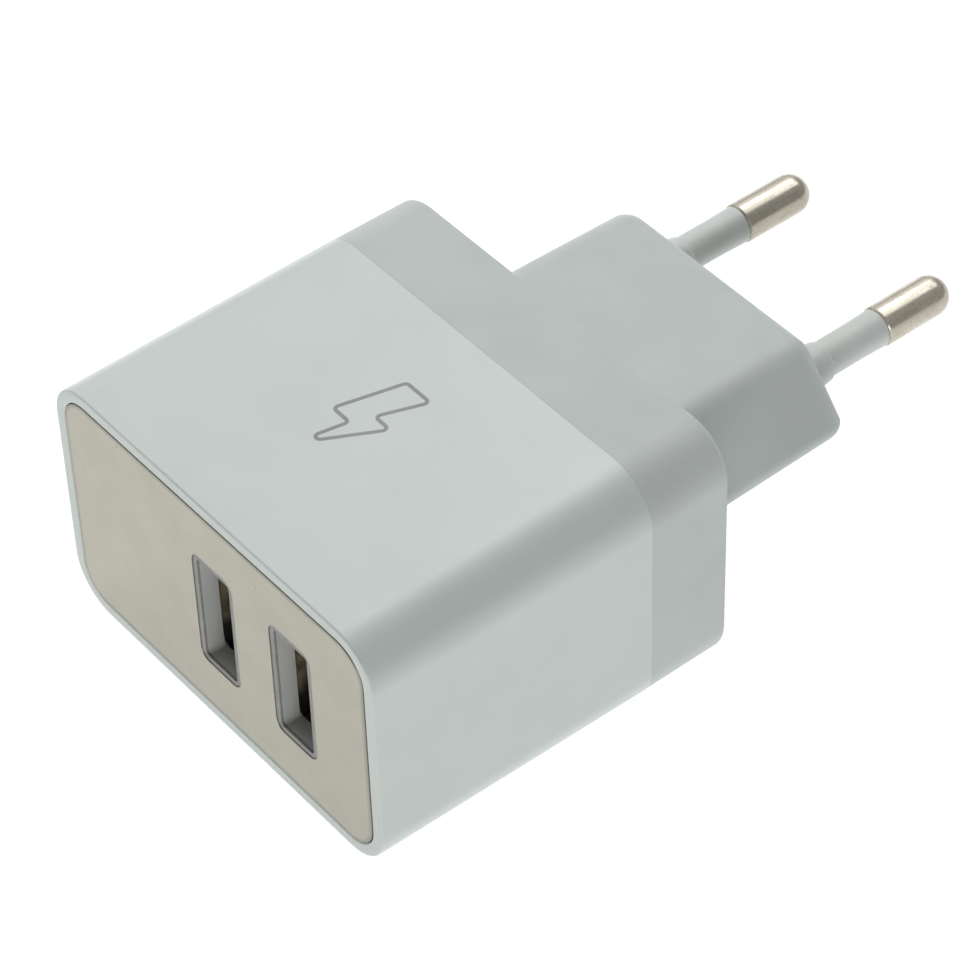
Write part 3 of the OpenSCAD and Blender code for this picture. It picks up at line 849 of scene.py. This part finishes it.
def build_insulation(side, label):
    """Insulation of a pin: a foot on the nose, a slim neck, and a square end at the bare metal."""
    end_r = PIN_R - INSULATION_END_STEP
    profile = [(NOSE_Y, PIN_NECK_R), (NOSE_Y, COLLAR_R)]
    for step in range(QUARTER_STEPS + 1):
        angle = math.pi / 2 * step / QUARTER_STEPS
        radius = NECK_INSULATION_R + (FOOT_END_R - NECK_INSULATION_R) * math.cos(angle)
        profile.append((NOSE_Y + FOOT_LEN + FOOT_ROUND * math.sin(angle), radius))
    profile += [(BARE_Y - INSULATION_END_LEN, NECK_INSULATION_R), (BARE_Y - INSULATION_CHAMFER, end_r)]
    profile += [(BARE_Y, end_r - INSULATION_CHAMFER), (BARE_Y, PIN_NECK_R)]
    shell = Shell()
    first, last = shell.round_loft(Vector((side * PIN_X, MID_Z)), profile)
    shell.join(last, first)
    name = f"pin_insulation_{label}"
    shell.finish(name, "pin_insulation", "charger", [f"pin_sleeve_{label}"], smooth=False)


# ---------------------------------------------------------------- printed mark

def top_z(y):
    """Height of the sleeve's drafted top face."""
    return BODY_H - DRAFT * (SEAM_Y - y) / (SEAM_Y - FRONT_Y)


def build_mark():
    """A generic outlined lightning bolt printed on the sleeve's top face."""
    length = 12.0
    line = 0.38
    ink = 0.012
    middle = Vector((-0.3, FRONT_Y + 16.5))
    bolt = [(-0.12, 1.0), (-0.42, -0.12), (-0.03, -0.12), (-0.22, -1.0),
            (0.48, 0.22), (0.12, 0.22), (0.42, 1.0)]
    corners = [Vector(p) * length / 2 for p in bolt]
    radii = [line] * len(bolt)
    shell = Shell()
    rings = []
    for inset, lift in ((-line / 2, 0), (-line / 2, ink), (line / 2, ink), (line / 2, 0)):
        places = [middle + p for p in outline(corners, radii, inset, QUARTER_STEPS)]
        rings.append([shell.mesh.verts.new((p.x, p.y, top_z(p.y) + lift)) for p in places])
    for first, second in zip(rings, rings[1:] + rings[:1]):
        shell.join(first, second)
    shell.finish("printed_bolt", "print_ink", "charger", smooth=False)


def paint_frame():
    """Gives every CAD node the finish of its material slot, for those that still show."""
    for part in frame["record"]["subparts"]:
        node = frame["nodes"][part["node"]]
        node.data.materials.clear()
        node.data.materials.append(material_of(part["material_slot"]))


# ---------------------------------------------------------------- stage, light and camera

TARGET = Vector((-1.11, -7.94, 9.78)) * MM
CAMERA_AZIMUTH = math.radians(52.29)
CAMERA_ELEVATION = math.radians(44.68)
CAMERA_ROLL = math.radians(-2.03)
CAMERA_DISTANCE = 361.2 * MM
CAMERA_LENS = 148.1

FLOOR_HALF = 3000 * MM
FLOOR_GLOW = 0.92
# name: azimuth, elevation, distance (mm), width and height (mm), power (W)
LIGHTS = {
    "back_high": (200, 50, 900, 700, 400, 2.84),
    "back_left": (235, 32, 900, 800, 500, 1.40),
    "back_left_high": (240, 52, 900, 700, 400, 1.18),
    "left": (275, 30, 900, 700, 500, 1.70),
    "front_left": (320, 25, 900, 700, 450, 0.70),
    "overhead": (250, 75, 900, 600, 600, 2.21),
    "right_front_strip": (55, 5, 900, 600, 130, 2.55),
}


def direction(azimuth, elevation):
    """Unit vector towards an azimuth, which starts at -Y and turns towards +X, and an elevation."""
    flat = math.cos(elevation)
    return Vector((math.sin(azimuth) * flat, -math.cos(azimuth) * flat, math.sin(elevation)))


def build_camera():
    """Camera at the photograph's viewing angle."""
    data = bpy.data.cameras.new("camera")
    data.lens = CAMERA_LENS
    data.sensor_width = 36
    data.clip_start = 0.01
    data.clip_end = 50
    camera = bpy.data.objects.new("camera", data)
    bpy.context.scene.collection.objects.link(camera)
    towards = direction(CAMERA_AZIMUTH, CAMERA_ELEVATION)
    level = towards.cross(Vector((0, 0, 1))).normalized() * -1
    upward = towards.cross(level)
    right = math.cos(CAMERA_ROLL) * level + math.sin(CAMERA_ROLL) * upward
    up = towards.cross(right)
    turn = Matrix((right, up, towards)).transposed()
    camera.matrix_world = Matrix.Translation(TARGET + towards * CAMERA_DISTANCE) @ turn.to_4x4()
    bpy.context.scene.camera = camera


def build_floor():
    """Plain pale floor that glows a little, like a lit table top."""
    mesh = bmesh.new()
    corners = [(-FLOOR_HALF, -FLOOR_HALF), (FLOOR_HALF, -FLOOR_HALF),
               (FLOOR_HALF, FLOOR_HALF), (-FLOOR_HALF, FLOOR_HALF)]
    mesh.faces.new([mesh.verts.new((x, y, 0)) for x, y in corners])
    data = bpy.data.meshes.new("floor")
    mesh.to_mesh(data)
    mesh.free()
    floor = bpy.data.objects.new("floor", data)
    bpy.context.scene.collection.objects.link(floor)
    finish = Finish("floor_paper", roughness=0.9)
    cloud = finish.scale(finish.noise(60, 2), 0.3, 0.7)
    finish.colour(finish.blend(cloud, (0.22, 0.22, 0.22), (0.24, 0.24, 0.24)))
    finish.shader.inputs["Emission Color"].default_value = (1, 1, 1, 1)
    finish.shader.inputs["Emission Strength"].default_value = FLOOR_GLOW
    data.materials.append(finish.material)
    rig.stage(floor)


def build_light(name, azimuth, elevation, distance, width, height, power):
    """Soft rectangular light that faces the charger."""
    data = bpy.data.lights.new(name, "AREA")
    data.shape = "RECTANGLE"
    data.size = width * MM
    data.size_y = height * MM
    data.energy = power
    light = bpy.data.objects.new(name, data)
    bpy.context.scene.collection.objects.link(light)
    towards = direction(math.radians(azimuth), math.radians(elevation))
    light.location = TARGET + towards * distance * MM
    light.rotation_euler = towards.to_track_quat("Z", "Y").to_euler()


def build_world():
    """Pale surroundings that the camera sees past the floor, and that light nothing."""
    world = bpy.data.worlds.new("studio")
    world.use_nodes = True
    background = world.node_tree.nodes["Background"]
    background.inputs["Color"].default_value = (1, 1, 1, 1)
    background.inputs["Strength"].default_value = FLOOR_GLOW
    for ray in ("diffuse", "glossy", "transmission", "scatter"):
        setattr(world.cycles_visibility, ray, False)
    bpy.context.scene.world = world
    bpy.context.scene.view_settings.view_transform = "Standard"


build_sleeve()
build_cover()
build_plate()
build_bezel(1)
build_bezel(2)
for side, label in ((-1, "left"), (1, "right")):
    build_pin(side, label)
    build_insulation(side, label)
build_mark()
paint_frame()
build_floor()
build_world()
for name, values in LIGHTS.items():
    build_light(name, *values)
build_camera()

low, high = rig.bounds()
with open("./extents.json", "w") as file:
    json.dump({"cad": [list(cad_low), list(cad_high)], "visual": [list(low), list(high)]}, file)
